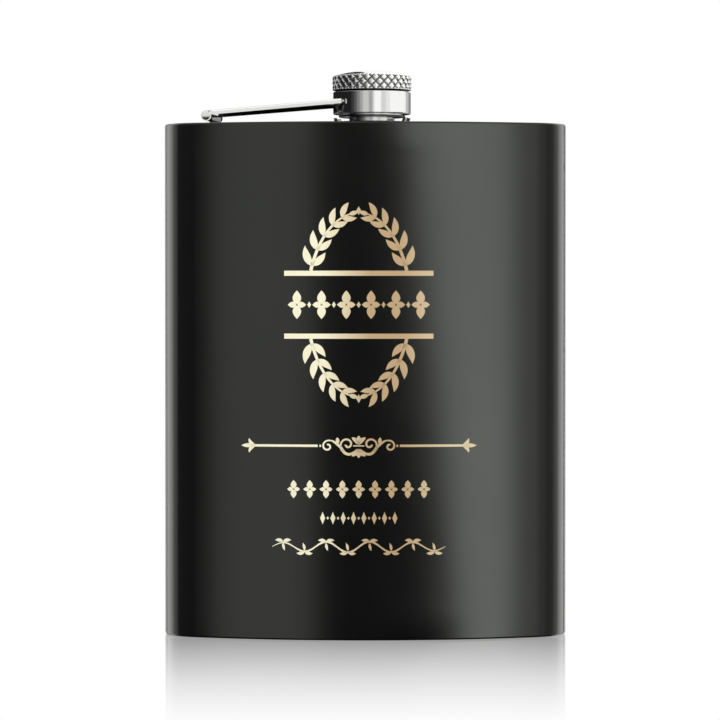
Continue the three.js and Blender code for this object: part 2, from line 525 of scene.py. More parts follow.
@dataclass(frozen=True)
class SteelWithPaintedShade:
    """Steel with painted shade: darker where a mesh attribute marks hollows and hidden sides that lie in
    shade.
    """

    name: str
    mark: str  # the mesh attribute that is 1 where shade is painted
    colour: tuple[float, float, float] = (0.83, 0.83, 0.82)
    # the near-black colour painted as shade
    dark: tuple[float, float, float] = (0.05, 0.05, 0.05)
    gloss: tuple[float, float] = (0.10, 0.45)
    lines: tuple[float, float, float] = (400.0, 400.0, 16000.0)
    depth: float = 0.001
    turn: float = 0.0

    def build(self) -> bpy.types.Material:
        """The material: bright where the attribute is 0, and painted darker and duller, as shade, where it
        is 1.

        Returns:
            The material.
        """
        recipe = Recipe(self.name)
        shade_share = recipe.attribute(self.mark)
        lines = recipe.noise(recipe.place(self.lines, self.turn), 1.0, 3)
        recipe.shade(
            # Painted shade: the colour goes towards near black where the attribute marks shade.
            Base_Color=recipe.ramp(shade_share, [(0.25, self.colour), (0.95, self.dark)]),
            Metallic=1.0,
            Roughness=recipe.range(shade_share, *self.gloss, 0.2, 1.0),
            Normal=recipe.bump(lines, self.depth),
        )
        return recipe.material


@dataclass(frozen=True)
class Seal:
    """Milky silicone rubber."""

    colour: tuple[float, float, float] = (0.79, 0.77, 0.72)

    def build(self) -> bpy.types.Material:
        """The material: soft, slightly translucent, with a moulded matt surface.

        Returns:
            The material.
        """
        recipe = Recipe("milky silicone")
        cloud = recipe.noise(recipe.place(), 700, 2)
        shade = tuple(channel * 0.93 for channel in self.colour)
        recipe.shade(
            Base_Color=recipe.ramp(cloud, [(0.3, shade), (0.7, self.colour)]),
            Roughness=recipe.range(cloud, 0.48, 0.6),
            Subsurface_Weight=0.15,
            Subsurface_Radius=(0.002, 0.0018, 0.0015),
            Normal=recipe.bump(recipe.noise(recipe.place(), 3500, 2), 0.004),
        )
        return recipe.material


@dataclass(frozen=True)
class GoldPrint:
    """Champagne gold foil, its own colour with light and shade painted across it: paler on one side,
    darker and warmer in the middle.
    """

    pale: tuple[float, float, float] = (0.98, 0.93, 0.69)
    cream: tuple[float, float, float] = (0.78, 0.66, 0.44)
    shaded_middle: tuple[float, float, float] = (0.56, 0.405, 0.23)
    right: tuple[float, float, float] = (0.80, 0.68, 0.45)
    reach: float = 0.030  # metres from the middle to where the pale and the right colour are full

    def build(self) -> bpy.types.Material:
        """The material: foil with painted light and shade in a gradient across it, and a faint crinkle.

        Returns:
            The material.
        """
        recipe = Recipe("champagne gold foil")
        across = recipe.node("ShaderNodeSeparateXYZ", Vector=recipe.place()).outputs[0]
        place = recipe.range(across, 0.0, 1.0, -self.reach, self.reach)
        crinkle = recipe.noise(recipe.place(), 2600, 3)
        recipe.shade(
            # Painted light and shade: pale and light towards the sides, where the curved front would catch
            # the lamps, and darker in the middle.
            Base_Color=recipe.ramp(place, [
                (0.33, self.pale), (0.42, self.cream), (0.52, self.shaded_middle), (0.64, self.shaded_middle),
                (0.84, self.right)]),
            Metallic=1.0,
            Roughness=recipe.range(crinkle, 0.38, 0.48),
            Normal=recipe.bump(crinkle, 0.002),
        )
        return recipe.material


# ---- the bench -----------------------------------------------------------------------------------
class Bench:
    """Makes shells into finished pieces that ride on the frame."""

    def __init__(self, materials: dict[str, bpy.types.Material]) -> None:
        """Keeps the materials by name, and opens one family of pieces per kind of lamp.

        Args:
            materials: the finishes by name.
        """
        self.materials = materials
        self.families = {glow: bpy.data.collections.new(glow.value) for glow in Glow}

    def mesh(self, name: str, shells: Sequence[Shell], sharp: float) -> bpy.types.Mesh:
        """One mesh from several shells, welded, with its faces outwards.

        Args:
            name: the mesh's name.
            shells: closed surfaces in millimetres.
            sharp: edges that bend more than this many degrees stay crisp.

        Returns:
            The mesh, in metres.
        """
        starts = np.cumsum([0] + [len(shell.points) for shell in shells[:-1]])
        points = np.concatenate([shell.points for shell in shells]) * MM
        faces = np.concatenate([shell.faces + start for shell, start in zip(shells, starts)])
        mesh = bpy.data.meshes.new(name)
        mesh.from_pydata(points.tolist(), [], faces.tolist())
        for mark in sorted({key for shell in shells for key in shell.marks}):
            values = [shell.marks.get(mark, np.zeros(len(shell.points))) for shell in shells]
            layer = mesh.attributes.new(mark, "FLOAT", "POINT")
            layer.data.foreach_set("value", np.concatenate(values).astype(np.float32))
        work = bmesh.new()
        work.from_mesh(mesh)
        bmesh.ops.remove_doubles(work, verts=work.verts, dist=WELD)
        bmesh.ops.dissolve_degenerate(work, edges=work.edges, dist=WELD)
        bmesh.ops.recalc_face_normals(work, faces=work.faces)
        work.to_mesh(mesh)
        work.free()
        mesh.shade_smooth()
        mesh.set_sharp_from_angle(angle=math.radians(sharp))
        return mesh

    def piece(self, name: str, shells: Sequence[Shell], body: str, finish: Finish, material: str,
              stands_for: Sequence[str] = (), sharp: float = 38.0,
              glow: Glow | None = None) -> bpy.types.Object:
        """A finished piece on its body.

        Args:
            name: the piece's name.
            shells: closed surfaces in millimetres, in the row frame.
            body: the frame's body that it rides on.
            finish: its finish, named like its slot in the record; it picks the piece's family of lamps.
            material: the name of its material.
            stands_for: the frame's nodes that it replaces.
            sharp: edges that bend more than this many degrees stay crisp.
            glow: its family, where that isn't its finish's own.

        Returns:
            The object.
        """
        mesh = self.mesh(name, shells, sharp)
        made = bpy.data.objects.new(name, mesh)
        bpy.context.scene.collection.objects.link(made)
        mesh.materials.append(self.materials[material])
        self.families[glow or GLOW_OF[finish]].objects.link(made)
        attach(made, body)
        if stands_for:
            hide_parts(*stands_for)
        LOG.info("%-20s %6d faces on %s", name, len(mesh.polygons), body)
        return made

    def drill(self, made: bpy.types.Object, tools: Sequence[Shell]) -> None:
        """Cuts closed shells out of a piece and keeps the result as its mesh.

        Args:
            made: the piece.
            tools: the shells to cut away, in millimetres.
        """
        cutter = bpy.data.objects.new("cutter", self.mesh("cutter", tools, 38.0))
        bpy.context.scene.collection.objects.link(cutter)
        cut = made.modifiers.new("holes", "BOOLEAN")
        cut.operation, cut.solver, cut.object = "DIFFERENCE", "EXACT", cutter
        bpy.context.view_layer.update()
        shape = made.evaluated_get(bpy.context.evaluated_depsgraph_get())
        mesh = bpy.data.meshes.new_from_object(shape)
        made.modifiers.remove(cut)
        made.data = mesh
        bpy.data.objects.remove(cutter)


# ---- flask body ----------------------------------------------------------------------------------
@dataclass(frozen=True)
class Kidney:
    """The flask's plan: an arc thickened to both sides, with round ends."""

    width: float = 95.0
    thick: float = 22.0
    bend: float = 102.0
    along_steps: int = 96
    end_steps: int = 40

    @property
    def half_angle(self) -> float:
        """How far round the bend each end's centre lies."""
        return math.asin((self.width - self.thick) / 2 / self.bend)

    @property
    def shift(self) -> float:
        """How far the plan is moved back, so that the origin is in the middle of its depth."""
        return -self.bend * (1 - math.cos(self.half_angle)) / 2

    def outline(self, inset: Array) -> Array:
        """The plan's outline, moved in by each inset.

        Each of the four stretches is an arc: centre + (base + side * round) (cos a, sin a), where
        round is half the thickness less the inset, and base is the bend's radius on the long sides
        and 0 on the ends.

        Args:
            inset: (rows,) distances.

        Returns:
            (rows, cols, 2) points.
        """
        turn, quarter = self.half_angle, math.pi / 2
        end = (self.bend * math.sin(turn), self.bend * (1 - math.cos(turn)))
        stretches = [
            ((0.0, self.bend), self.bend, 1.0, -quarter - turn, -quarter + turn, self.along_steps),
            (end, 0.0, 1.0, -quarter + turn, quarter + turn, self.end_steps),
            ((0.0, self.bend), self.bend, -1.0, -quarter + turn, -quarter - turn, self.along_steps),
            ((-end[0], end[1]), 0.0, 1.0, quarter - turn, 3 * quarter - turn, self.end_steps),
        ]
        half = self.thick / 2 - np.asarray(inset, float)[:, None]
        parts = []
        for (x, y), base, side, start, stop, steps in stretches:
            angle = start + (stop - start) * np.arange(steps) / steps
            radius = base + side * half
            parts.append(np.stack([x + radius * np.cos(angle),
                                   y + self.shift + radius * np.sin(angle)], -1))
        return np.concatenate(parts, axis=1)

    def carried(self, profile: Array, closed: bool) -> Shell:
        """A profile of (inset, height) carried round the plan.

        Args:
            profile: (rows, 2) insets and heights.
            closed: the profile returns to its start.

        Returns:
            The shell.
        """
        plan = self.outline(profile[:, 0])
        height = np.broadcast_to(profile[:, 1][:, None, None], (*plan.shape[:2], 1))
        return grid_shell(np.concatenate([plan, height], -1), closed)


@dataclass(frozen=True)
class FlaskBody:
    """The black sleeve with its two plates."""

    plan: Kidney = Kidney()
    height: float = 120.6
    wall: float = 0.6
    edge: float = 0.55
    lid: float = 0.8
    groove: float = 0.07  # between the sleeve and a plate, at the weld
    lid_edge: float = 0.3
    cap_x: float = 1.5
    hole: float = 5.45

    def sleeve(self) -> Shell:
        """The drawn wall: a thin loop with a rounded lip at each end.

        Returns:
            The shell.
        """
        top, wall, lip = self.height, self.wall, self.edge
        loop = rounded([(0, 0, lip), (0, top, lip), (wall, top, 0.02), (wall, 0, 0.02)], True, 7)
        return self.plan.carried(divided(loop, 6.0, True), True)

    def base_plate(self) -> Shell:
        """The base: a plate out to a rounded rim, from the middle of the bend and back to it.

        Returns:
            The shell.
        """
        spine, rim = self.plan.thick / 2, self.wall + self.groove
        edge = self.lid_edge
        path = rounded([(spine, 0, 0), (rim, 0, edge), (rim, self.lid, 0.05), (spine, self.lid, 0)])
        return self.plan.carried(divided(path, 2.5), False)

    def top_plate(self) -> Shell:
        """The top: ruled between the neck's hole and the sleeve.

        A point at share t on the ray from the neck's axis through an outline point lies at
        hole + t (outline - hole), and the share runs out along the top and back underneath.

        Returns:
            The shell.
        """
        low, top, edge = self.height - self.lid, self.height, self.lid_edge
        reach = 40.0
        path = rounded([(0, top, 0), (reach, top, edge), (reach, low, 0.05), (0, low, 0)])
        share = np.linspace(0, reach - 2 * edge, 12)[:-1]
        path = np.concatenate([np.stack([share, np.full_like(share, top)], -1), path[1:]])
        rim = self.plan.outline(np.full(1, self.wall + self.groove))[0]
        centre = np.array([self.cap_x, self.plan.shift])
        ray = rim - centre
        length = np.linalg.norm(ray, axis=1, keepdims=True)
        start = centre + ray / length * self.hole
        travel = path[:, 0][:, None, None]
        span = length - self.hole
        near = np.where(travel > reach - 2 * edge, span - (reach - travel),
                        travel / (reach - 2 * edge) * (span - 2 * edge))
        plan = start[None] + near * (ray / length)[None]
        height = np.broadcast_to(path[:, 1][:, None, None], (*plan.shape[:2], 1))
        return grid_shell(np.concatenate([plan, height], -1), True)

    def build(self, bench: Bench) -> None:
        """Makes the black pieces.

        Args:
            bench: where pieces are made.
        """
        bench.piece("sleeve_wall", [self.sleeve()], "flask", Finish.BLACK, "coat",
                    ["body_sleeve"])
        bench.piece("top_lid", [self.top_plate()], "flask", Finish.BLACK, "coat", ["top_plate"])
        bench.piece("base_lid", [self.base_plate()], "flask", Finish.BLACK, "coat", ["base_plate"])


@dataclass(frozen=True)
class Spout:
    """The threaded neck and the polished seat round it."""

    station: Station
    bore: float = 4.2
    outer: float = 5.3
    crest: float = 0.35
    pitch: float = 1.5
    foot: tuple[float, float] = (6.5, -1.1)
    below: float = 2.4
    height: float = 6.4
    thread: tuple[float, float] = (1.6, 6.0)
    facets: int = 120

    def neck(self) -> Shell:
        """The neck, with a true screw thread.

        The thread's height at angle a and height z is a flat-topped ridge over the phase
        z / pitch - a / turn, faded in and out over the first and last half turn.

        Returns:
            The shell.
        """
        path = rounded([
            (self.bore, -self.below, 0.15), (self.foot[0], -self.below, 0.3),
            (self.foot[0], self.foot[1], 0.2), (self.outer, self.foot[1], 0.3),
            (self.outer, self.height, 0.35), (self.bore, self.height, 0.3),
        ], True, 5)
        path = divided(path, 0.12, True)
        angle = np.arange(self.facets) / self.facets
        phase = (path[:, 1:] / self.pitch - angle) % 1.0
        ridge = np.clip((0.38 - np.abs(phase - 0.5)) / 0.16, 0, 1)
        low, high = self.thread
        fade = smooth_step(path[:, 1:], low, low + 0.5) * (1 - smooth_step(path[:, 1:], high - 0.5, high))
        outside = path[:, :1] > self.outer - 0.01
        return self.station.place(turned(path, self.facets, True, self.crest * ridge * fade * outside))

    def seat(self) -> Shell:
        """A flat washer with an upturned stop at each side, in line with the arm.

        It is turned with the stop's full height all round, and what stands above the washer is
        pressed flat wherever the angle is away from the arm's line.

        Returns:
            The shell.
        """
        rim, inner, floor = 9.1, 8.3, 0.24
        path = rounded([
            (6.0, 0.0, 0.04), (rim, 0.0, 0.06), (rim, floor, 0.02), (rim, 1.2, 0.16),
            (inner, 1.2, 0.16), (inner - 0.05, floor, 0.02), (6.0, floor, 0.06),
        ], True, 6)
        path = divided(path, 0.25, True)
        angle = np.arange(288) * TURN / 288
        stop = smooth_step(np.abs(np.cos(angle)), math.cos(0.42), math.cos(0.33))
        above = np.maximum(path[:, 1:] - floor, 0)
        dish = turned(path, 288, True)
        points = dish.points - np.stack([0 * dish.points[:, 0]] * 2 + [
            (above * (1 - stop)).reshape(-1)], -1)
        return self.station.place(Shell(points, dish.faces))

    def build(self, bench: Bench) -> None:
        """Makes the neck and its seat.

        Args:
            bench: where pieces are made.
        """
        bench.piece("neck_spout", [self.neck()], "flask", Finish.BRUSHED, "machined", ["neck"], 50)
        bench.piece("seat_dish", [self.seat()], "flask", Finish.POLISHED, "turned", ["neck_seat"])


# ---- arm -----------------------------------------------------------------------------------------
@dataclass(frozen=True)
class Lug:
    """The welded lug that holds the hinge pin."""

    station: Station
    half: float = 4.9
    barrel: float = 1.2
    bore: float = 0.8
    leg: float = 0.45
    drop: float = 1.85
    toe: float = 1.5
    edge: float = 0.12

    def outline(self) -> Array:
        """The barrel's circle, from the leg's inner side clockwise round to its outer side, and
        the leg down to the plate; its inner side lies on a ray from the pin.

        Returns:
            (n, 2) points, x along the arm and z up from the pin.
        """
        start = -math.acos(self.leg / self.barrel)
        angle = np.linspace(start, -TURN, 72)
        circle = self.barrel * np.stack([np.cos(angle), np.sin(angle)], -1)
        low = -self.drop
        heel = self.leg * low / circle[0, 1]
        leg = rounded([(self.barrel, 0, 0), (self.barrel + 0.04, low * 0.6, 0.5),
                       (self.toe, low, 0.06), (heel, low, 0.06), tuple(circle[0]) + (0,)], False, 6)
        return divided(np.concatenate([circle, leg[1:-1]]), 0.16, True)

    def shell(self) -> Shell:
        """The lug: rolled sheet round the pin, with a leg.

        The section is carried round the outline: at a share of 0 it lies on the outline and at 1
        on the bore, where the ray from the pin meets it. The end faces and the leg are marked for
        painted shade, to be coloured near black as if they lay in shadow.

        Returns:
            The shell.
        """
        loop = self.outline()
        path = rounded([(0, -self.half, self.edge), (0, self.half, self.edge),
                        (1, self.half, 0.08), (1, -self.half, 0.08)], True, 4)
        path = divided(path, 1.2, True)
        share, y = path[:, 0][:, None, None], path[:, 1:]
        eye = self.bore * loop / np.linalg.norm(loop, axis=1, keepdims=True)
        flat = loop * (1 - share) + eye * share
        points = np.stack([flat[..., 0], np.broadcast_to(y, flat.shape[:2]), flat[..., 1]], -1)
        # Painted shade: the lug's end faces and its leg are marked to be coloured near black, as the shade
        # they lie in.
        cut = 1.0 * (np.abs(points[..., 1]) > self.half - 0.02)
        tint = smooth_step(-points[..., 2], 0.75, 1.05)
        return self.station.place(grid_shell(points, True, True, {"dark": np.maximum(cut, tint)}))

    def build(self, bench: Bench) -> None:
        """Makes the lug.

        Args:
            bench: where pieces are made.
        """
        bench.piece("lug_knuckle", [self.shell()], "flask", Finish.POLISHED, "welded",
                    ["hinge_lug"], glow=Glow.METAL)


@dataclass(frozen=True)
class Arm:
    """The folded strap between the hinge and the cap, with its pins."""

    station: Station
    length: float = 32.85
    top: float = 1.30
    low: float = 0.15
    sheet: float = 0.62
    hinge_half: float = 6.3
    cap_half: float = 8.25
    ear: float = 1.27
    pin: float = 0.7
    hole: float = 0.77
    head: float = 1.02  # radius of the rivet's peened heads
    fold: float = 0.45
    web_start: float = 1.8
    slot: float = 11.35
    cap_at: float = 38.6
    pivot_at: float = 31.95
    pivot: float = 0.42
    pivot_inside: float = 5.0
    rows: int = 42
    flange_cols: int = 5
    fold_cols: int = 7
    web_cols: int = 25

    def half_width(self, x: float | Array) -> float | Array:
        """Half the strap's width at a station."""
        return self.hinge_half + (self.cap_half - self.hinge_half) * x / self.length

    def slot_edge(self, share: Array) -> Array:
        """Where the web ends at each share of its half width: on the fork slot's circle.

        Args:
            share: shares of the half width, from -1 to 1.

        Returns:
            The station of each.
        """
        x = np.full_like(share, self.cap_at - self.slot)
        for _ in range(8):
            y = share * (self.half_width(x) - self.fold)
            x = self.cap_at - np.sqrt(self.slot**2 - y**2)
        return x

    def flange(self, x: Array) -> tuple[Array, Array]:
        """One flange with its fold, on the side of negative y.

        Up the flange, y is minus the half width, and then a quarter circle of the fold's radius
        leads over to the web. Inside, the corner is sharp under the web and open to the top where
        there is no web.

        Args:
            x: (rows,) stations.

        Returns:
            Outer and inner (rows, cols, 3) points.
        """
        edge_end = float(self.slot_edge(np.array([1.0]))[0])
        x = x[:, None]
        half = self.half_width(x)
        radius = 0.16 + (self.fold - 0.16) * smooth_step(x, self.ear, self.web_start)
        covered = smooth_step(x, self.ear + 0.1, self.web_start) * (
            1 - smooth_step(x, edge_end, edge_end + 0.35))
        rise = np.linspace(0, 1, self.flange_cols)[None]
        bend = np.linspace(0, math.pi / 2, self.fold_cols)[None, 1:]
        outer_y = np.concatenate([-half + 0 * rise, -half + radius * (1 - np.cos(bend))], 1)
        outer_z = np.concatenate([self.low + (self.top - radius - self.low) * rise,
                                  self.top - radius * (1 - np.sin(bend))], 1)
        tight = 0.05 * covered
        corner = self.top - self.sheet * covered
        inner_y = np.concatenate([-half + self.sheet + 0 * rise,
                                  -half + self.sheet + tight * (1 - np.cos(bend))], 1)
        inner_z = np.concatenate([self.low + (corner - tight - self.low) * rise,
                                  corner - tight * (1 - np.sin(bend))], 1)
        along = np.broadcast_to(x, outer_y.shape)
        return np.stack([along, outer_y, outer_z], -1), np.stack([along, inner_y, inner_z], -1)

    def web(self, stations: Array) -> tuple[Array, Array]:
        """The web between the folds: each line runs from its start to the fork slot's circle.

        Args:
            stations: (rows,) stations at the web's sides.

        Returns:
            Outer and inner (rows, cols, 3) points.
        """
        share = np.linspace(-1, 1, self.web_cols)[None]
        along = (stations - stations[0]) / (stations[-1] - stations[0])
        end = self.slot_edge(share[0])[None]
        x = self.web_start + along[:, None] * (end - self.web_start)
        y = share * (self.half_width(x) - self.fold)
        inner_y = share * (self.half_width(x) - self.sheet - 0.05)
        outer = np.stack([x, y, np.full_like(x, self.top)], -1)
        inner = np.stack([x, inner_y, np.full_like(x, self.top - self.sheet)], -1)
        return outer, inner

    def eye(self, outer_rim: Array, inner_rim: Array) -> tuple[Array, Array]:
        """The ear round the hinge pin, on the side of negative y.

        Its edge is the flange's first row, the top edge and three quarters of a circle, and each
        row of the ear lies at a share of the way from the pin's hole to that edge.

        Args:
            outer_rim: (cols, 3) first row of the flange's outer side.
            inner_rim: (cols, 3) first row of its inner side.

        Returns:
            Outer and inner (rows, cols, 3) points.
        """
        top_x = np.linspace(outer_rim[-1, 0], 0, 9)[1:-1]
        angle = np.linspace(math.pi / 2, TURN + math.atan2(self.low, self.ear), 44)[:-1]
        swell = self.ear + (self.top - self.ear) * (1 - smooth_step(angle, math.pi / 2, 2.4))
        x = np.concatenate([outer_rim[:, 0], top_x, swell * np.cos(angle)])
        z = np.concatenate([outer_rim[:, 2], np.full_like(top_x, self.top), swell * np.sin(angle)])
        bent = np.concatenate([outer_rim[:, 1] + self.half_width(outer_rim[:, 0]),
                               np.zeros(len(top_x) + len(angle))])
        inner_z = np.concatenate([inner_rim[:, 2], np.full_like(top_x, self.top), z[-len(angle):]])
        share = np.linspace(0, 1, 5)[:, None]

        def rows(height: Array, sink: float, lean: Array) -> Array:
            """One side of the ear, at a depth into the sheet.

            Args:
                height: heights of the rim's points.
                sink: depth into the sheet.
                lean: how far the rim leans out of the flat.

            Returns:
                (rows, cols, 3) points.
            """
            away = np.arctan2(height, x)
            grid_x = (1 - share) * self.hole * np.cos(away) + share * x
            grid_z = (1 - share) * self.hole * np.sin(away) + share * height
            return np.stack([grid_x, -self.half_width(grid_x) + sink + share * lean, grid_z], -1)

        return rows(z, 0.0, bent), rows(inner_z, self.sheet, np.zeros_like(bent))

    def strap(self) -> Shell:
        """The whole folded strap: two ears, two flanges and the web, as one thick sheet.

        Returns:
            The shell.
        """
        start = math.sqrt(self.ear**2 - self.low**2)
        side_end = float(self.slot_edge(np.array([1.0]))[0])
        web_rows = self.web_start + (side_end - self.web_start) * np.linspace(0, 1, self.rows)
        stations = np.concatenate([
            np.linspace(start, self.web_start, 5)[:-1], web_rows,
            np.linspace(side_end, self.length, 8)[1:],
        ])
        flange = self.flange(stations)
        eye = self.eye(flange[0][0], flange[1][0])
        web = self.web(web_rows)
        mirror = np.array([1, -1, 1])
        grids = [(flange, False), (eye, True), (web, False),
                 (tuple(side * mirror for side in flange), False),
                 (tuple(side * mirror for side in eye), True)]
        outer, inner, faces, count = [], [], [], 0
        for (out, inn), wraps in grids:
            outer.append(out.reshape(-1, 3))
            inner.append(inn.reshape(-1, 3))
            faces.append(grid_faces(*out.shape[:2], False, wraps) + count)
            count += len(outer[-1])
        sheet = thick_sheet(np.concatenate(outer), np.concatenate(inner), np.concatenate(faces))
        return self.station.place(sheet)

    def peg(self, radius: float, start: float, end: float, x: float = 0.0, z: float = 0.0,
            dome: float = 0.12) -> Shell:
        """A round pin along Y with slightly domed, rounded ends.

        Args:
            radius: of the pin.
            start: its first end along Y.
            end: its last end along Y.
            x: where its axis is.
            z: where its axis is.
            dome: how far each end stands out in the middle.

        Returns:
            The shell.
        """
        path = rounded([(0, start - dome, 0), (radius * 0.55, start - dome * 0.75, 0),
                        (radius, start, 0.09), (radius, end, 0.09),
                        (radius * 0.55, end + dome * 0.75, 0), (0, end + dome, 0)], False, 5)
        pin = turned(divided(path, 1.5), 40)
        across, depth, along = pin.points.T
        return self.station.place(Shell(np.stack([across + x, along, depth + z], -1), pin.faces))

    def rivet(self) -> Shell:
        """The hinge pin, with a thin flat head peened over each ear.

        Returns:
            The shell.
        """
        end, head, thick = self.hinge_half, self.head, 0.14
        half = [(0, 0, 0), (self.pin, 0, 0), (self.pin, end + 0.01, 0.02), (head, end + 0.01, 0.02),
                (head, end + thick, 0.07), (0, end + thick, 0)]
        path = rounded([(x, -z, r) for x, z, r in half[:1:-1]] + half[2:], False, 5)
        pin = turned(divided(path, 1.5), 48)
        across, depth, along = pin.points.T
        return self.station.place(Shell(np.stack([across, along, depth], -1), pin.faces))

    def pivot_pegs(self) -> list[Shell]:
        """The front and the rear pivot pin.

        Returns:
            The two shells.
        """
        z = (self.low + self.top) / 2
        outer, inner = self.half_width(self.pivot_at) - self.sheet / 2, self.pivot_inside
        return [self.peg(self.pivot, -outer, -inner, self.pivot_at, z, 0.01),
                self.peg(self.pivot, inner, outer, self.pivot_at, z, 0.01)]

    def pivot_holes(self) -> list[Shell]:
        """The two bores in the collar that the pivot pins run in.

        Returns:
            The two shells.
        """
        z = (self.low + self.top) / 2
        wide = self.pivot + 0.05
        return [self.peg(wide, -11.0, 0.1 - self.pivot_inside, self.pivot_at, z, 0.03),
                self.peg(wide, self.pivot_inside - 0.1, 11.0, self.pivot_at, z, 0.03)]

    def build(self, bench: Bench) -> None:
        """Makes the strap and its three pins.

        Args:
            bench: where pieces are made.
        """
        front, rear = self.pivot_pegs()
        for name, shell, material, node in (
                ("arm_sheet", self.strap(), "strap", "arm_strap"),
                ("hinge_rivet", self.rivet(), "polished", "hinge_pin"),
                ("fork_peg_front", front, "polished", "pivot_pin_front"),
                ("fork_peg_rear", rear, "polished", "pivot_pin_rear")):
            bench.piece(name, [shell], "arm", Finish.POLISHED, material, [node], glow=Glow.ARM)


# ---- cap -----------------------------------------------------------------------------------------
@dataclass(frozen=True)
class Collar:
    """The plain ring that the arm holds and the cap turns in."""

    station: Station
    bore: float = 7.55
    outer: float = 9.1
    bottom: float = 2.05
    top: float = 7.3

    def shell(self) -> Shell:
        """A turned ring with softly rounded edges.

        Returns:
            The shell.
        """
        path = rounded([
            (self.bore, self.bottom, 0.1), (self.outer, self.bottom, 0.28),
            (self.outer, self.top, 0.24), (self.bore, self.top, 0.1),
        ], True, 7)
        return self.station.place(turned(divided(path, 0.55, True), 192, True))

    def build(self, bench: Bench, holes: list[Shell]) -> None:
        """Makes the ring and drills it for the pivots."""
        made = bench.piece("collar_ring", [self.shell()], "collar", Finish.POLISHED, "turned",
                           ["collar"])
        bench.drill(made, holes)


@dataclass(frozen=True)
class Cap:
    """The knurled grip with its threaded insert, gasket and retaining ring."""

    station: Station
    outer: float = 9.3
    bottom: float = 7.6
    band: float = 10.95
    top: float = 12.3
    socket: float = 7.5
    socket_top: float = 9.1
    diamonds: int = 29
    per_diamond: int = 20
    pitch: float = 2.05
    depth: float = 0.36
    slope: float = 0.19
    crown: float = 0.16

    def grip(self) -> Shell:
        """The grip: a shallow dome over a band of diamond knurling.

        Two families of grooves cross: their phases are n a / turn plus and minus z / pitch. The
        distance to the nearer groove, over the slope's width and cut off at 1, gives each
        diamond's height, and each also swells a little towards its middle.

        Returns:
            The shell.
        """
        rise = self.top - self.band
        share = np.linspace(0.985, 0, 16)
        dome = np.stack([self.outer * share, self.band + rise * (1 - share**2)], -1)
        step, neck = self.bottom - 0.22, self.outer - 0.8
        under = rounded([(0, self.socket_top, 0), (self.socket, self.socket_top, 0.15),
                         (self.socket, step, 0.1), (neck, step, 0.06),
                         (neck, self.bottom + 0.1, 0.06), (self.outer - 0.1, self.bottom + 0.1, 0.06),
                         (self.outer, self.bottom + 0.25, 0)], False, 5)
        band = np.stack([np.full(38, self.outer),
                         np.linspace(self.bottom + 0.3, self.band - 0.06, 38)], -1)
        path = np.concatenate([divided(under, 0.9), band, dome])
        facets = self.diamonds * self.per_diamond
        around = np.arange(facets) / self.per_diamond
        level = (path[:, 1:] - self.bottom) / self.pitch + 0.12
        gap = []
        for phase in ((around + level) % 1.0, (around - level) % 1.0):
            gap.append(np.minimum(phase, 1 - phase))
        height = np.clip(np.minimum(*gap) / self.slope, 0, 1)
        swell = 4 * self.crown * gap[0] * gap[1] * height
        in_band = smooth_step(path[:, 1:], self.bottom + 0.08, self.bottom + 0.3) * (
            path[:, :1] > self.outer * 0.97)
        fade = in_band * (1 - smooth_step(path[:, 1:], self.band + 0.05, self.band + 0.25))
        relief = (-self.depth * (1 - height) - self.crown + swell) * fade
        # Painted shade: the groove floors and the recess under the band are marked to be coloured near
        # black, as the shade in them.
        recess = (path[:, 1:] < self.bottom + 0.12) * (path[:, :1] > self.socket)
        groove = np.maximum((1 - height) * fade, 0.97 * recess)
        return self.station.place(turned(path, facets, False, relief, {"groove": groove}))

    def insert(self) -> Shell:
        """The insert: a cup with a screw thread inside its bore.

        Returns:
            The shell.
        """
        path = rounded([(0, 8.0, 0), (6.55, 8.0, 0.1), (6.55, 1.6, 0.12), (7.2, 1.6, 0.12),
                        (7.2, 8.8, 0.1), (0, 8.8, 0)], False, 4)
        path = divided(path, 0.16)
        angle = np.arange(96) / 96
        phase = (path[:, 1:] / 1.5 - angle) % 1.0
        ridge = np.clip((0.3 - np.abs(phase - 0.5)) / 0.16, 0, 1)
        fade = smooth_step(path[:, 1:], 2.2, 2.7) * (1 - smooth_step(path[:, 1:], 5.8, 6.3))
        inside = np.abs(path[:, :1] - 6.55) < 0.01
        return self.station.place(turned(path, 96, False, -0.4 * ridge * fade * inside))

    def gasket(self) -> Shell:
        """The sealing disc, with a shallow ring pressed in by the neck.

        Returns:
            The shell.
        """
        path = rounded([(0, 6.78, 0), (3.9, 6.78, 0.2), (4.3, 6.92, 0.2), (5.3, 6.92, 0.2),
                        (5.6, 6.7, 0.15), (6.2, 6.7, 0.15), (6.2, 7.7, 0.15), (0, 7.7, 0)], False, 5)
        return self.station.place(turned(divided(path, 0.8), 96))

    def retainer(self) -> Shell:
        """The thin ring that keeps the collar on the insert.

        Returns:
            The shell.
        """
        path = rounded([(7.25, 1.35, 0.08), (7.8, 1.35, 0.15), (7.8, 1.75, 0.08),
                        (7.25, 1.75, 0.05)], True, 5)
        return self.station.place(turned(path, 128, True))

    def build(self, bench: Bench) -> None:
        """Makes the cap's four pieces.

        Args:
            bench: where pieces are made.
        """
        bench.piece("cap_grip", [self.grip()], "cap", Finish.KNURLED, "knurled", ["cap_head"], 60)
        bench.piece("cap_core", [self.insert()], "cap", Finish.BRUSHED, "machined",
                    ["cap_insert"], 50)
        bench.piece("seal_disc", [self.gasket()], "cap", Finish.SEAL, "silicone", ["cap_gasket"])
        # The keeper ring's material paints it near black, as the shade it lies in under the collar.
        bench.piece("keeper_ring", [self.retainer()], "cap", Finish.POLISHED, "spring",
                    ["retaining_ring"])


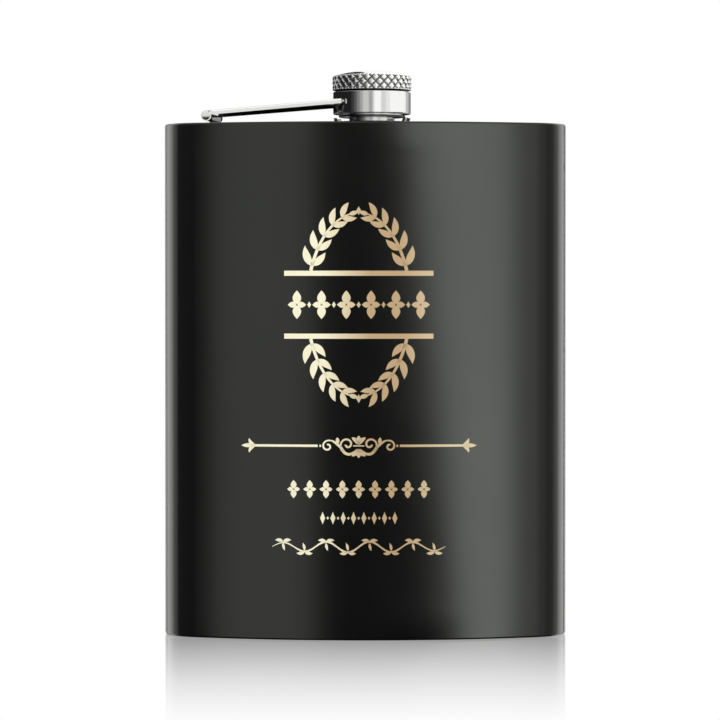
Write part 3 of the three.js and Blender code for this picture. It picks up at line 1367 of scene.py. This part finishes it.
# ---- the print -----------------------------------------------------------------------------------
@dataclass(frozen=True)
class Brush:
    """Lays thin raised strokes on the convex front.

    A stroke is drawn in the flat of the print, with x to the right and z up. On the flask, x is
    length along the front's arc: the point at x stands at the angle x / radius round the bend.
    """

    plan: Kidney
    lift: float = 0.045
    sink: float = 0.05

    def stroke(self, centre: Array, half: Array) -> Shell:
        """A flat band along a line, as wide as its half widths say.

        Across it, the section is a low plateau whose sides lean in a little and go down into the
        wall. The normal of the line is its direction turned by a quarter turn.

        Args:
            centre: (n, 2) points of the line.
            half: (n,) half widths.

        Returns:
            The closed shell in the row frame.
        """
        ahead = np.gradient(centre, axis=0)
        ahead /= np.maximum(np.linalg.norm(ahead, axis=1, keepdims=True), 1e-9)
        normal = np.stack([-ahead[:, 1], ahead[:, 0]], -1)
        lean = 0.03
        across = np.array([-1.0, -1.0, -0.34, 0.34, 1.0, 1.0])
        inward = np.array([0.0, lean, 0.0, 0.0, -lean, 0.0])
        depth = np.array([-self.sink, self.lift, self.lift, self.lift, self.lift, -self.sink])
        offset = half[:, None] * across + np.clip(inward, -half[:, None] * 0.4, half[:, None] * 0.4)
        flat = centre[:, None] + normal[:, None] * offset[..., None]
        height = np.broadcast_to(depth, offset.shape)
        ends = [(flat[:1].mean(1, keepdims=True) + 0 * flat[:1], height[:1] * 0),
                (flat[-1:].mean(1, keepdims=True) + 0 * flat[-1:], height[-1:] * 0)]
        flat = np.concatenate([ends[0][0], flat, ends[1][0]])
        height = np.concatenate([ends[0][1], height, ends[1][1]])
        return grid_shell(self.wrap(flat, height), False, True)

    def wrap(self, flat: Array, height: Array) -> Array:
        """Flat points laid on the front's arc, each raised by its height.

        Args:
            flat: (..., 2) points, x along the arc and z up.
            height: (...) distances out of the wall.

        Returns:
            (..., 3) points in the row frame.
        """
        radius = self.plan.bend + self.plan.thick / 2
        angle = flat[..., 0] / radius
        out = radius + height
        return np.stack([out * np.sin(angle),
                         self.plan.bend + self.plan.shift - out * np.cos(angle), flat[..., 1]], -1)

    def bar(self, x0: float, x1: float, z: float, half: float) -> Shell:
        """A straight level bar.

        Args:
            x0: its first end.
            x1: its last end.
            z: its height.
            half: half its width.

        Returns:
            The shell.
        """
        x = np.linspace(x0, x1, max(4, int(abs(x1 - x0) / 1.5)))
        return self.stroke(np.stack([x, np.full_like(x, z)], -1), np.full_like(x, half))

    def leaf(self, root: Sequence[float], angle: float, length: float, half: float,
             curl: float = 0.0, blunt: float = 0.62) -> Shell:
        """A leaf: a line that bends by curl over its length, widest at about two fifths.

        Args:
            root: where it starts.
            angle: its first direction, in radians.
            length: along the line.
            half: its greatest half width.
            curl: how far its direction turns, in radians.
            blunt: a smaller value makes fuller ends.

        Returns:
            The shell.
        """
        t = np.linspace(0, 1, 15)
        way = angle + curl * t
        step = np.stack([np.cos(way), np.sin(way)], -1) * length / (len(t) - 1)
        line = np.array(root, float) + np.concatenate([np.zeros((1, 2)), np.cumsum(step, 0)[:-1]])
        shape = np.sin(math.pi * t**0.85) ** (blunt + 0.25)
        return self.stroke(line, np.maximum(half * shape, 0.02))


@dataclass(frozen=True)
class Ornament:
    """The gold print: a laurel oval parted by a band, a rule, and three rows below it."""

    brush: Brush
    middle: float = -1.6
    oval: tuple[float, float] = (12.0, 21.3)  # half width and half height of the laurel
    oval_z: float = 78.05
    bar_half: float = 0.62
    bar_reach: float = 17.4
    bar_z: tuple[float, float] = (70.75, 85.35)
    rule_z: float = 45.3

    def both(self, x: float) -> tuple[float, float]:
        """The two places at a distance from the middle."""
        return self.middle - x, self.middle + x

    def laurel(self) -> list[Shell]:
        """Four sprigs on an oval, each from a bar towards the oval's tip.

        The stem follows (a cos t, b sin t). Leaves grow from it in pairs, turned out and in from
        its direction, and one leaf ends it.

        Returns:
            The strokes.
        """
        wide, tall = self.oval
        first = math.asin((self.bar_z[1] + self.bar_half - self.oval_z) / tall)
        turn = np.linspace(first, 1.40, 40)
        shells = []
        for side in (-1, 1):
            for up in (-1, 1):
                line = np.stack([self.middle + side * wide * np.cos(turn),
                                 self.oval_z + up * tall * np.sin(turn)], -1)
                shells.append(self.brush.stroke(line, np.linspace(0.42, 0.2, len(turn))))
                for step in range(5):
                    at = first + 0.06 + (1.38 - first) * step / 5
                    root = (self.middle + side * wide * math.cos(at),
                            self.oval_z + up * tall * math.sin(at))
                    way = math.atan2(up * tall * math.cos(at), -side * wide * math.sin(at))
                    size = 1.0 - 0.05 * step
                    spin = side * up
                    shells.append(self.brush.leaf(root, way - spin * 0.95, 5.0 * size, 0.92 * size,
                                                  spin * 0.75))
                    shells.append(self.brush.leaf(root, way + spin * 0.80, 4.4 * size, 0.84 * size,
                                                  -spin * 0.55))
                way = math.atan2(up * tall * math.cos(1.4), -side * wide * math.sin(1.4))
                root = (self.middle + side * wide * math.cos(1.38),
                        self.oval_z + up * tall * math.sin(1.38))
                shells.append(self.brush.leaf(root, way, 2.4, 0.55))
        for up in (-1, 1):
            shells.append(self.diamond(self.middle, self.oval_z + up * (tall + 0.5), 2.0, 0.6))
        return shells

    def lozenge(self, x: float, z: float, tall: float, wide: float) -> list[Shell]:
        """Four petals that meet in a point: two upright and two level.

        Args:
            x: its middle.
            z: its middle.
            tall: its height.
            wide: its width.

        Returns:
            The four petals.
        """
        brush, gap = self.brush, 0.12
        return [
            brush.leaf((x, z + gap), math.pi / 2, tall / 2 - gap, wide * 0.24),
            brush.leaf((x, z - gap), -math.pi / 2, tall / 2 - gap, wide * 0.24),
            brush.leaf((x + gap, z), 0.0, wide / 2 - gap, wide * 0.17),
            brush.leaf((x - gap, z), math.pi, wide / 2 - gap, wide * 0.17),
        ]

    def diamond(self, x: float, z: float, tall: float, half: float) -> Shell:
        """A slim upright diamond.

        Args:
            x: its middle.
            z: its middle.
            tall: its height.
            half: half its width.

        Returns:
            The shell.
        """
        t = np.linspace(-1, 1, 9)
        line = np.stack([np.full_like(t, x), z + t * tall / 2], -1)
        return self.brush.stroke(line, np.maximum(half * (1 - np.abs(t)), 0.02))

    def band(self) -> list[Shell]:
        """The two bars and the six petalled lozenges between them.

        Returns:
            The strokes.
        """
        shells = [self.brush.bar(*self.both(self.bar_reach), z, self.bar_half) for z in self.bar_z]
        for spot in np.linspace(-14.4, 14.4, 6):
            shells += self.lozenge(self.middle + spot, sum(self.bar_z) / 2, 6.6, 4.3)
        for spot in np.linspace(-11.52, 11.52, 5):
            shells.append(self.diamond(self.middle + spot, sum(self.bar_z) / 2, 1.5, 0.5))
        return shells

    def fan(self, z: float, up: int) -> list[Shell]:
        """A palmette: a full middle leaf and two that lean out of the same root.

        Args:
            z: height of its root.
            up: 1 for upwards and -1 for downwards.

        Returns:
            The three leaves.
        """
        root, middle = (self.middle, z), up * math.pi / 2
        shells = [self.brush.leaf(root, middle, 2.05, 0.58, blunt=0.3)]
        for side in (-1, 1):
            shells.append(self.brush.leaf(root, middle + side * 0.45, 2.35, 0.50, side * 0.75, 0.3))
        return shells

    def rule(self) -> list[Shell]:
        """The rule: a scrolled middle, two lines, and a three-leaved tip at each end.

        Returns:
            The strokes.
        """
        brush, z, x = self.brush, self.rule_z, self.middle
        shells = self.fan(z + 0.3, 1) + self.fan(z - 0.75, -1)
        shells.append(brush.bar(x - 1.3, x + 1.3, z, 0.17))
        for side in (-1, 1):
            shells.append(brush.bar(x + side * 9.55, x + side * 25.2, z, 0.31))
            shells.append(brush.bar(x + side * 8.75, x + side * 9.15, z, 0.28))
            out = 0.0 if side > 0 else math.pi
            shells.append(brush.leaf((x + side * 24.9, z), out, 2.8, 0.5))
            for lean in (-1, 1):
                root, turn = (x + side * 24.3, z + lean * 0.1), side * lean
                shells.append(brush.leaf(root, out + turn * 0.12, 2.35, 0.44, turn * 1.5, 0.4))
            wind = np.linspace(0, 1, 40)
            for (centre, first, last, start, end, half) in (
                    ((7.2, -0.1), 1.42, 0.30, 0.62, -1.6, 0.24),
                    ((2.65, 0.3), 1.85, 0.32, -0.36, 1.95, 0.25)):
                angle = math.pi * (start + (end - start) * wind)
                reach = first + (last - first) * wind**0.85
                flat = np.array(centre) + reach[:, None] * np.stack([np.cos(angle), np.sin(angle)], -1)
                width = half * (0.85 + 0.15 * np.sin(math.pi * wind)) + 0.12 * wind**12
                shells.append(brush.stroke(flat * (side, 1) + (x, z), width))
            sweep = np.linspace(0, 1, 30)
            line = np.stack([0.35 + 6.3 * sweep, -0.8 - 1.15 * np.sin(math.pi * np.minimum(
                1, sweep / 0.62)) + 2.05 * smooth_step(sweep, 0.42, 1.0)], -1)
            shells.append(brush.stroke(line * (side, 1) + (x, z), 0.14 + 0.22 * np.sin(
                math.pi * sweep) ** 0.8))
            shells.append(brush.leaf((x + side * 5.0, z + 1.95), -math.pi / 2 - side * 0.12, 1.7, 0.46))
        return shells

    def rows(self) -> list[Shell]:
        """A row of nine small lozenges and a row of eight diamonds with dots between them.

        Returns:
            The strokes.
        """
        shells = []
        for spot in np.linspace(-15.2, 15.2, 9):
            shells += self.lozenge(self.middle + spot, 35.2, 4.2, 3.0)
        for spot in np.linspace(-8.4, 8.4, 8):
            shells.append(self.diamond(self.middle + spot, 28.5, 2.9, 0.62))
        for spot in np.linspace(-7.2, 7.2, 7):
            shells.append(self.diamond(self.middle + spot, 28.5, 0.8, 0.32))
        return shells

    def vine(self) -> list[Shell]:
        """A flowing vine: a sine wave that thins at its ends, with a leaf on each crest.

        Returns:
            The strokes.
        """
        reach, z, waves = 20.2, 21.8, 4
        t = np.linspace(-1, 1, 120)
        wave = np.sin(math.pi * waves * t)
        line = np.stack([self.middle + reach * t, z + 1.25 * wave * (1 - 0.35 * t**2)], -1)
        shells = [self.brush.stroke(line, 0.10 + 0.16 * (1 - t**4) * (0.6 + 0.4 * np.abs(wave)))]
        for step in range(2 * waves):
            at = (step + 0.5) / waves - 1
            up = math.sin(math.pi * waves * at)
            x = self.middle + reach * at
            for side in (-1, 1):
                shells.append(self.brush.leaf((x, z + 1.15 * up), math.pi / 2 * (1 - side) + side * up
                                              * 0.55, 2.0, 0.42, -side * up * 0.8))
            shells.append(self.brush.leaf((x, z + 0.9 * up), -up * math.pi / 2, 1.9, 0.34, 0.5))
        return shells

    def build(self, bench: Bench) -> None:
        """Makes the print's pieces.

        Args:
            bench: where pieces are made.
        """
        for name, shells in (("print_laurel", self.laurel()), ("print_band", self.band()),
                             ("print_rule", self.rule()), ("print_rows", self.rows()),
                             ("print_vine", self.vine())):
            bench.piece(name, shells, "flask", Finish.GOLD, "gold")


# ---- studio --------------------------------------------------------------------------------------
@dataclass(frozen=True)
class SoftBox:
    """A soft rectangular lamp on a ring round the flask.

    Azimuth 0 is in front and 90 to the right. The lamp covers the azimuths from start to end, and
    its radiance is its power over pi times its area.
    """

    name: str
    start: float
    end: float
    radiance: float
    glow: Glow
    ring: float = 2.0  # metres
    low: float = -1.4
    high: float = 1.6

    def build(self, bench: Bench) -> None:
        """Makes the lamp.

        Args:
            bench: where the families of pieces are.
        """
        middle, spread = math.radians((self.start + self.end) / 2), self.end - self.start
        width = 2 * self.ring * math.tan(math.radians(spread) / 2)
        height = (self.low + self.high) / 2
        place = Vector((math.sin(middle) * self.ring, -math.cos(middle) * self.ring, height))
        facing = (Vector((0, 0, height)) - place).to_track_quat("-Z", "Y")
        hang_lamp(self.name, place, facing, (width, self.high - self.low), self.radiance, bench,
                  [self.glow])


def hang_lamp(name: str, place: Vector, facing: Quaternion, size: tuple[float, float],
              radiance: float, bench: Bench, glows: Sequence[Glow]) -> None:
    """Hangs an area lamp that shines on the given families of pieces.

    Args:
        name: the lamp's name.
        place: its middle, in metres.
        facing: the turn that points its -Z axis at the flask.
        size: its width and height in metres.
        radiance: what it sends out per area and solid angle.
        bench: where the families of pieces are.
        glows: the families it shines on.
    """
    data = bpy.data.lights.new(name, "AREA")
    data.shape, data.size, data.size_y = "RECTANGLE", *size
    data.energy = radiance * math.pi * size[0] * size[1]
    lamp = bpy.data.objects.new(name, data)
    bpy.context.scene.collection.objects.link(lamp)
    lamp.rotation_mode = "QUATERNION"
    lamp.location = place
    lamp.rotation_quaternion = facing
    lamp.visible_camera = False
    receivers = bpy.data.collections.new(f"{name} receivers")
    for glow in glows:
        for piece in bench.families[glow].objects:
            receivers.objects.link(piece)
    lamp.light_linking.receiver_collection = receivers


@dataclass(frozen=True)
class Studio:
    """A white room with a polished pale floor, soft boxes and the camera."""

    camera_at: tuple[float, float, float] = (-1.3, -794.4, 81.0)  # millimetres
    pitch: float = 1.158  # degrees down
    lens: float = 168.2
    floor_radius: float = 260.0
    floor_gap: float = 0.05  # between the base and the floor, millimetres
    footprint: tuple[float, float] = (44.0, 13.0)
    mirror: tuple[tuple[float, float], ...] = (
        (0.0, 0.74), (40.0, 0.52), (78.0, 0.31), (113.0, 0.155), (142.0, 0.045), (160.0, 0.0))
    ambient: float = 0.015
    steel_steps: tuple[tuple[float, float], ...] = (  # where each lamp starts, and its radiance
        (-75, 0.0), (-64, 0.03), (-54, 0.10), (-45, 0.24), (-36, 0.42), (-27, 0.66), (-9, 0.42),
        (2, 0.8), (7, 1.15), (27, 0.78), (42, 0.95), (55, 1.12), (120, 0.6), (140, 0.28), (165, 0.0))

    def camera(self) -> None:
        """Puts up the camera."""
        data = bpy.data.cameras.new("camera")
        data.lens, data.sensor_width = self.lens, 36
        data.clip_start, data.clip_end = 0.01, 20
        made = bpy.data.objects.new("camera", data)
        bpy.context.scene.collection.objects.link(made)
        made.location = Vector(self.camera_at) * MM
        made.rotation_euler = (math.radians(90 - self.pitch), 0, 0)
        bpy.context.scene.camera = made

    def world(self) -> None:
        """A white surround behind everything, dim where it would light the pieces."""
        world = bpy.data.worlds.new("white room")
        bpy.context.scene.world = world
        world.use_nodes = True
        nodes, links = world.node_tree.nodes, world.node_tree.links
        path = nodes.new("ShaderNodeLightPath")
        seen = nodes.new("ShaderNodeMath")
        seen.operation = "MAXIMUM"
        links.new(path.outputs["Is Camera Ray"], seen.inputs[0])
        links.new(path.outputs["Is Singular Ray"], seen.inputs[1])
        level = nodes.new("ShaderNodeMapRange")
        links.new(seen.outputs[0], level.inputs["Value"])
        level.inputs["To Min"].default_value = self.ambient
        level.inputs["To Max"].default_value = 1.0
        background = nodes["Background"]
        background.inputs["Color"].default_value = (1, 1, 1, 1)
        links.new(level.outputs[0], background.inputs["Strength"])

    def floor(self) -> None:
        """A round pale floor that mirrors the flask near its foot and fades to plain white.

        The mirror's share falls with the distance to the flask's footprint, which is the length of
        (|x| - half width, |y| - half depth) with negative parts cut off at 0, and it is weaker the
        steeper the floor is looked at. From below the floor is clear.
        """
        t = np.linspace(0, 1, 12)[:, None] * self.floor_radius
        profile = np.concatenate([t, 0 * t - self.floor_gap], 1)
        disc = turned(profile, 96)
        mesh = bpy.data.meshes.new("floor")
        mesh.from_pydata((disc.points * MM).tolist(), [], disc.faces[:, ::-1].tolist())
        floor = bpy.data.objects.new("floor", mesh)
        bpy.context.scene.collection.objects.link(floor)
        recipe = Recipe("polished pale floor")
        spot = recipe.node("ShaderNodeSeparateXYZ", Vector=recipe.place([1 / MM] * 3))
        past = [recipe.maths("MAXIMUM", recipe.maths("SUBTRACT", recipe.maths(
            "ABSOLUTE", spot.outputs[axis]), half), 0.0) for axis, half in zip("XY", self.footprint)]
        joined = recipe.node("ShaderNodeCombineXYZ", X=past[0], Y=past[1])
        length = recipe.node("ShaderNodeVectorMath")
        length.operation = "LENGTH"
        recipe.feed(length, 0, joined.outputs[0])
        far = self.mirror[-1][0]
        share = recipe.maths("DIVIDE", length.outputs["Value"], far)
        fade = recipe.ramp(share, [(d / far, (k, k, k)) for d, k in self.mirror])
        glance = recipe.node("ShaderNodeLayerWeight", Blend=0.5).outputs["Facing"]
        white = recipe.node("ShaderNodeEmission", Color=(1, 1, 1, 1), Strength=1.0)
        glass = recipe.node("ShaderNodeBsdfGlossy", Color=(1, 1, 1, 1), Roughness=0.0)
        top = recipe.node("ShaderNodeMixShader", Fac=recipe.maths("MULTIPLY", fade, glance))
        under = recipe.node("ShaderNodeMixShader", Fac=recipe.node(
            "ShaderNodeNewGeometry").outputs["Backfacing"])
        clear = recipe.node("ShaderNodeBsdfTransparent")
        for mix, first, second in ((top, white, glass), (under, top, clear)):
            recipe.feed(mix, 1, first.outputs[0])
            recipe.feed(mix, 2, second.outputs[0])
        recipe.nodes.remove(recipe.shader)
        recipe.links.new(under.outputs[0], recipe.nodes["Material Output"].inputs["Surface"])
        mesh.materials.append(recipe.material)
        floor.visible_glossy = floor.visible_diffuse = False

    def coat_lamps(self) -> list[SoftBox]:
        """The soft boxes for the black coat.

        The right strip's inner edge leans: it is the stair of eight narrow lamps, whose lower ends
        come down step by step towards the strip.

        Returns:
            The lamps.
        """
        coat = Glow.COAT
        lamps = [
            SoftBox("coat left strip", -40.5, -13, 1.0, coat),
            SoftBox("coat middle fill", -13, 9, 0.05, coat),
            SoftBox("coat left side", -85, -50, 0.10, coat),
            SoftBox("coat left soft rim", -109, -92, 0.85, coat),
            SoftBox("coat left rim", -140, -109, 2.2, coat),
            SoftBox("coat right strip, low", 25, 38.5, 3.4, coat, high=0.0),
            SoftBox("coat right strip, high", 25, 38.5, 2.85, coat, low=0.0),
            SoftBox("coat right step", 38.5, 48, 0.95, coat),
            SoftBox("coat right side", 48, 66, 0.60, coat),
            SoftBox("coat right flank", 66, 92, 0.35, coat),
            SoftBox("coat right soft rim", 92, 109, 0.85, coat),
            SoftBox("coat right rim", 109, 140, 2.2, coat),
            SoftBox("coat back left", 196, 216, 0.9, coat),
            SoftBox("coat back right", 150, 168, 1.5, coat),
        ]
        first, last, steps = 9.0, 25.0, 8
        wide = (last - first) / steps
        for step in range(steps):
            share = step / steps
            begin = first + wide * step
            low = 0.28 - 0.50 * (share + 0.5 / steps)
            lamps.append(SoftBox(f"coat right wedge {step}", begin, begin + wide, 2.5 + 0.7 * share,
                                 coat, low=low))
        return lamps

    def steel_lamps(self) -> list[SoftBox]:
        """The soft boxes for turned steel, for the folded strap and for the print.

        Returns:
            The lamps.
        """
        metal, arm = Glow.METAL, Glow.ARM
        lamps = [
            SoftBox("metal dome", 150, 181, 1.0, metal, low=0.40, high=2.4),
            SoftBox("arm front", -70, 40, 0.90, arm, low=0.12, high=2.2),
            SoftBox("arm right", 45, 120, 0.85, arm, low=0.12, high=2.2),
            SoftBox("arm back", 140, 220, 0.80, arm, low=0.12, high=2.2),
            SoftBox("print front", -60, 60, 1.12, Glow.PRINT),
        ]
        for (start, level), (end, _) in zip(self.steel_steps, self.steel_steps[1:]):
            lamps.append(SoftBox(f"metal from {start}", start, end, level, metal))
        return lamps

    def overheads(self, bench: Bench) -> None:
        """Hangs the lamps above; the steel's grow brighter from left to right.

        Args:
            bench: where the families of pieces are.
        """
        down = Vector((0, 0, -1)).to_track_quat("-Z", "Y")
        above, side = Vector((0.1, 0.1, 1.1)), 3.0
        hang_lamp("overhead coat", above, down, (side, side), 0.8, bench, [Glow.COAT])
        hang_lamp("overhead arm", above, down, (side, side), 0.9, bench, [Glow.ARM, Glow.PRINT])
        strips, across = 8, 3.2
        for step in range(strips):
            share = (step + 0.5) / strips
            place = above + Vector((across * (share - 0.5), 0, 0))
            hang_lamp(f"overhead metal {step}", place, down, (across / strips, side),
                      0.3 + 0.75 * share, bench, [Glow.METAL])

    def build(self, bench: Bench) -> None:
        """Sets up the whole studio.

        Args:
            bench: where the families of pieces are.
        """
        self.camera()
        self.world()
        self.floor()
        for lamp in self.coat_lamps() + self.steel_lamps():
            lamp.build(bench)
        self.overheads(bench)
        bpy.context.scene.view_settings.view_transform = "Standard"


# ---- assembly ------------------------------------------------------------------------------------
ARM_YAW = -math.radians(10)
ARM_RISE = math.radians(4.15)
ARM_REACH = 38.5  # hinge pin to cap axis, seen from above, millimetres
PIN_HEIGHT = 1.85  # hinge pin above the top plate, millimetres


def materials() -> dict[str, bpy.types.Material]:
    """All the finishes, by the names that the pieces use.

    Returns:
        The materials by name.
    """
    along = (300.0, 14000.0, 14000.0)
    made = {
        "coat": BlackCoat(),
        "polished": Steel("polished steel", lines=along, turn=-ARM_YAW, depth=0.0008),
        "turned": Steel("turned polished steel", (0.84, 0.84, 0.83)),
        # The retaining ring is coloured near black: the shade under the collar, painted in.
        "spring": Steel("ring steel painted dark as shade", (0.09, 0.09, 0.09)),
        # The lug's end faces and leg are painted near black as shade.
        "welded": SteelWithPaintedShade("rolled lug steel with painted shade", "dark", lines=along, turn=-ARM_YAW,
                             dark=(0.03, 0.03, 0.03)),
        "machined": Steel("machined steel", (0.72, 0.72, 0.71), (0.18, 0.28), depth=0.003),
        # The strap's inner side, under the channel, is painted near black as shade.
        "strap": SteelWithPaintedShade("folded strap steel with painted shade", "inside", lines=along, turn=-ARM_YAW,
                           dark=(0.035, 0.035, 0.035)),
        # The knurl's groove floors and the recess under the band are painted near black as shade.
        "knurled": SteelWithPaintedShade("knurled steel", "groove", (0.90, 0.90, 0.89), (0.006, 0.006, 0.006),
                             (0.09, 0.3)),
        "silicone": Seal(),
        "gold": GoldPrint(),
    }
    return {name: finish.build() for name, finish in made.items()}


def main() -> None:
    """Builds the flask, its print and the studio."""
    logging.basicConfig(level=logging.INFO, format="%(message)s")
    bench = Bench(materials())
    body = FlaskBody()
    cap_at = (body.cap_x, body.plan.shift, body.height)
    hinge_at = (body.cap_x - ARM_REACH * math.cos(ARM_YAW),
                body.plan.shift - ARM_REACH * math.sin(ARM_YAW), body.height + PIN_HEIGHT)
    upright = Station(cap_at, ARM_YAW)
    arm = Arm(Station(hinge_at, ARM_YAW, ARM_RISE))
    body.build(bench)
    Spout(upright).build(bench)
    Lug(Station(hinge_at, ARM_YAW)).build(bench)
    arm.build(bench)
    Collar(upright).build(bench, arm.pivot_holes())
    Cap(upright).build(bench)
    Ornament(Brush(body.plan)).build(bench)
    Studio().build(bench)


if __name__ == "__main__":
    main()
